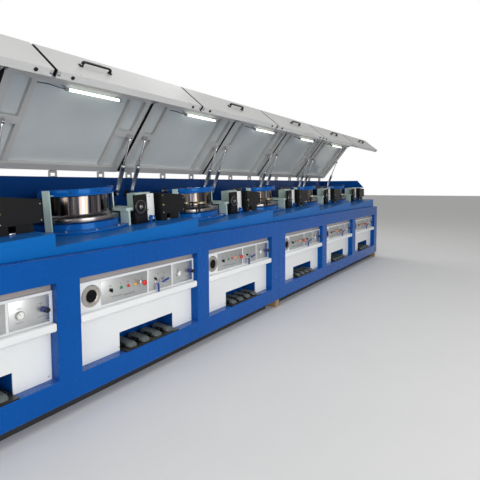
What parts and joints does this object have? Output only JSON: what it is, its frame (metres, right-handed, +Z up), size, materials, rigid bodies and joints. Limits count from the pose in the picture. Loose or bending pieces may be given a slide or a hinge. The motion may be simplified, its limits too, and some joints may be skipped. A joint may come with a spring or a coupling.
{
  "type": "wire drawing machine",
  "caption": "Straight-line dry wire drawing machine: a long housing with tilted drawing drums, die stands with soap boxes and hinged safety lids held open by struts.",
  "frame": {"origin": "on the floor at the middle of the machine, under the packing block at the joint of the two beds", "axes": "+X along the line, from the outlet end to the inlet end; -Y towards the operator's side; +Z up"},
  "size_m": [9.1376, 1.3, 2.5143],
  "materials": {
    "frame_blue": "gloss machine paint",
    "table_blue": "gloss machine paint",
    "hood_blue": "gloss machine paint",
    "wall_blue": "satin machine paint",
    "skid_black": "matt",
    "timber": "rough sawn",
    "panel_white": "satin powder coat",
    "lid_paint": "satin powder coat",
    "plate_alloy": "satin anodised",
    "ring_alloy": "turned",
    "control_plastic": "moulded",
    "plate_black": "satin",
    "pedal_cast": "satin hammered paint",
    "mint_paint": "gloss machine paint",
    "box_black": "satin",
    "pulley_brass": "turned",
    "bracket_steel": "brushed",
    "lid_trim": "moulded",
    "strut_alloy": "anodised tube",
    "rod_chrome": "polished",
    "drum_chrome": "ground and plated"
  },
  "bodies": {
    "machine": {"bed_left": "frame_blue", "bed_right": "frame_blue", "tables": "table_blue", "rear_walls": "wall_blue", "end_guards": "frame_blue", "base_skids": "skid_black", "packing_blocks": "timber", "control_panels": "panel_white", "instrument_plates": "plate_alloy", "panel_controls": "control_plastic", "vent_rings": "ring_alloy", "ledges": "panel_white", "kick_panels": "panel_white", "pedal_plates": "plate_black", "foot_pedals": "pedal_cast", "rear_panels": "panel_white", "drum_bases": "frame_blue", "drum_hoods": "hood_blue", "hood_posts": "mint_paint", "die_stands": "mint_paint", "soap_boxes": "box_black", "guide_discs": "box_black", "guide_pulleys": "pulley_brass", "hinge_brackets": "bracket_steel", "strut_brackets": "bracket_steel"},
    "lid_1": {"lid_1": "lid_paint", "lid_fittings_1": "lid_trim"},
    "strut_cylinders_1": {"strut_cylinders_1": "strut_alloy"},
    "strut_rods_1": {"strut_rods_1": "rod_chrome"},
    "drum_1": {"drum_1": "drum_chrome"},
    "lid_2": {"lid_2": "lid_paint", "lid_fittings_2": "lid_trim"},
    "strut_cylinders_2": {"strut_cylinders_2": "strut_alloy"},
    "strut_rods_2": {"strut_rods_2": "rod_chrome"},
    "drum_2": {"drum_2": "drum_chrome"},
    "lid_3": {"lid_3": "lid_paint", "lid_fittings_3": "lid_trim"},
    "strut_cylinders_3": {"strut_cylinders_3": "strut_alloy"},
    "strut_rods_3": {"strut_rods_3": "rod_chrome"},
    "drum_3": {"drum_3": "drum_chrome"},
    "lid_4": {"lid_4": "lid_paint", "lid_fittings_4": "lid_trim"},
    "strut_cylinders_4": {"strut_cylinders_4": "strut_alloy"},
    "strut_rods_4": {"strut_rods_4": "rod_chrome"},
    "drum_4": {"drum_4": "drum_chrome"},
    "lid_5": {"lid_5": "lid_paint", "lid_fittings_5": "lid_trim"},
    "strut_cylinders_5": {"strut_cylinders_5": "strut_alloy"},
    "strut_rods_5": {"strut_rods_5": "rod_chrome"},
    "drum_5": {"drum_5": "drum_chrome"},
    "lid_6": {"lid_6": "lid_paint", "lid_fittings_6": "lid_trim"},
    "strut_cylinders_6": {"strut_cylinders_6": "strut_alloy"},
    "strut_rods_6": {"strut_rods_6": "rod_chrome"},
    "drum_6": {"drum_6": "drum_chrome"}
  },
  "joints": [
    {"name": "lid_1_hinge", "type": "hinge", "parent": "machine", "child": "lid_1", "pos_m": [-3.785, 0.605, 1.695], "axis": [1, 0, 0], "range_deg": [0, 51]},
    {"name": "strut_1_swing", "type": "hinge", "parent": "machine", "child": "strut_cylinders_1", "pos_m": [-3.785, 0.47, 1.465], "axis": [1, 0, 0], "range_deg": [0, 44.4]},
    {"name": "strut_1_stroke", "type": "slide", "parent": "strut_cylinders_1", "child": "strut_rods_1", "axis": [0, -0.3718, 0.9283], "range_m": [-0.2222, 0]},
    {"name": "drum_1_spin", "type": "hinge", "parent": "machine", "child": "drum_1", "pos_m": [-3.872, 0.15, 1.187], "axis": [-0.061, 0, 0.9981], "continuous": true},
    {"name": "lid_2_hinge", "type": "hinge", "parent": "machine", "child": "lid_2", "pos_m": [-2.271, 0.605, 1.695], "axis": [1, 0, 0], "range_deg": [0, 51]},
    {"name": "strut_2_swing", "type": "hinge", "parent": "machine", "child": "strut_cylinders_2", "pos_m": [-2.271, 0.47, 1.465], "axis": [1, 0, 0], "range_deg": [0, 44.4]},
    {"name": "strut_2_stroke", "type": "slide", "parent": "strut_cylinders_2", "child": "strut_rods_2", "axis": [0, -0.3718, 0.9283], "range_m": [-0.2222, 0]},
    {"name": "drum_2_spin", "type": "hinge", "parent": "machine", "child": "drum_2", "pos_m": [-2.358, 0.15, 1.187], "axis": [-0.061, 0, 0.9981], "continuous": true},
    {"name": "lid_3_hinge", "type": "hinge", "parent": "machine", "child": "lid_3", "pos_m": [-0.757, 0.605, 1.695], "axis": [1, 0, 0], "range_deg": [0, 51]},
    {"name": "strut_3_swing", "type": "hinge", "parent": "machine", "child": "strut_cylinders_3", "pos_m": [-0.757, 0.47, 1.465], "axis": [1, 0, 0], "range_deg": [0, 44.4]},
    {"name": "strut_3_stroke", "type": "slide", "parent": "strut_cylinders_3", "child": "strut_rods_3", "axis": [0, -0.3718, 0.9283], "range_m": [-0.2222, 0]},
    {"name": "drum_3_spin", "type": "hinge", "parent": "machine", "child": "drum_3", "pos_m": [-0.844, 0.15, 1.187], "axis": [-0.061, 0, 0.9981], "continuous": true},
    {"name": "lid_4_hinge", "type": "hinge", "parent": "machine", "child": "lid_4", "pos_m": [0.757, 0.605, 1.695], "axis": [1, 0, 0], "range_deg": [0, 51]},
    {"name": "strut_4_swing", "type": "hinge", "parent": "machine", "child": "strut_cylinders_4", "pos_m": [0.757, 0.47, 1.465], "axis": [1, 0, 0], "range_deg": [0, 44.4]},
    {"name": "strut_4_stroke", "type": "slide", "parent": "strut_cylinders_4", "child": "strut_rods_4", "axis": [0, -0.3718, 0.9283], "range_m": [-0.2222, 0]},
    {"name": "drum_4_spin", "type": "hinge", "parent": "machine", "child": "drum_4", "pos_m": [0.67, 0.15, 1.187], "axis": [-0.061, 0, 0.9981], "continuous": true},
    {"name": "lid_5_hinge", "type": "hinge", "parent": "machine", "child": "lid_5", "pos_m": [2.271, 0.605, 1.695], "axis": [1, 0, 0], "range_deg": [0, 51]},
    {"name": "strut_5_swing", "type": "hinge", "parent": "machine", "child": "strut_cylinders_5", "pos_m": [2.271, 0.47, 1.465], "axis": [1, 0, 0], "range_deg": [0, 44.4]},
    {"name": "strut_5_stroke", "type": "slide", "parent": "strut_cylinders_5", "child": "strut_rods_5", "axis": [0, -0.3718, 0.9283], "range_m": [-0.2222, 0]},
    {"name": "drum_5_spin", "type": "hinge", "parent": "machine", "child": "drum_5", "pos_m": [2.184, 0.15, 1.187], "axis": [-0.061, 0, 0.9981], "continuous": true},
    {"name": "lid_6_hinge", "type": "hinge", "parent": "machine", "child": "lid_6", "pos_m": [3.785, 0.605, 1.695], "axis": [1, 0, 0], "range_deg": [0, 51]},
    {"name": "strut_6_swing", "type": "hinge", "parent": "machine", "child": "strut_cylinders_6", "pos_m": [3.785, 0.47, 1.465], "axis": [1, 0, 0], "range_deg": [0, 44.4]},
    {"name": "strut_6_stroke", "type": "slide", "parent": "strut_cylinders_6", "child": "strut_rods_6", "axis": [0, -0.3718, 0.9283], "range_m": [-0.2222, 0]},
    {"name": "drum_6_spin", "type": "hinge", "parent": "machine", "child": "drum_6", "pos_m": [3.698, 0.15, 1.187], "axis": [-0.061, 0, 0.9981], "continuous": true}
  ],
  "couplings": [
    {"joint": "strut_1_swing", "follows": "lid_1_hinge", "ratio": 0.86954},
    {"joint": "strut_1_stroke", "follows": "lid_1_hinge", "m_per_rad": -0.24891},
    {"joint": "strut_2_swing", "follows": "lid_2_hinge", "ratio": 0.86954},
    {"joint": "strut_2_stroke", "follows": "lid_2_hinge", "m_per_rad": -0.24891},
    {"joint": "strut_3_swing", "follows": "lid_3_hinge", "ratio": 0.86954},
    {"joint": "strut_3_stroke", "follows": "lid_3_hinge", "m_per_rad": -0.24891},
    {"joint": "strut_4_swing", "follows": "lid_4_hinge", "ratio": 0.86954},
    {"joint": "strut_4_stroke", "follows": "lid_4_hinge", "m_per_rad": -0.24891},
    {"joint": "strut_5_swing", "follows": "lid_5_hinge", "ratio": 0.86954},
    {"joint": "strut_5_stroke", "follows": "lid_5_hinge", "m_per_rad": -0.24891},
    {"joint": "strut_6_swing", "follows": "lid_6_hinge", "ratio": 0.86954},
    {"joint": "strut_6_stroke", "follows": "lid_6_hinge", "m_per_rad": -0.24891}
  ]
}
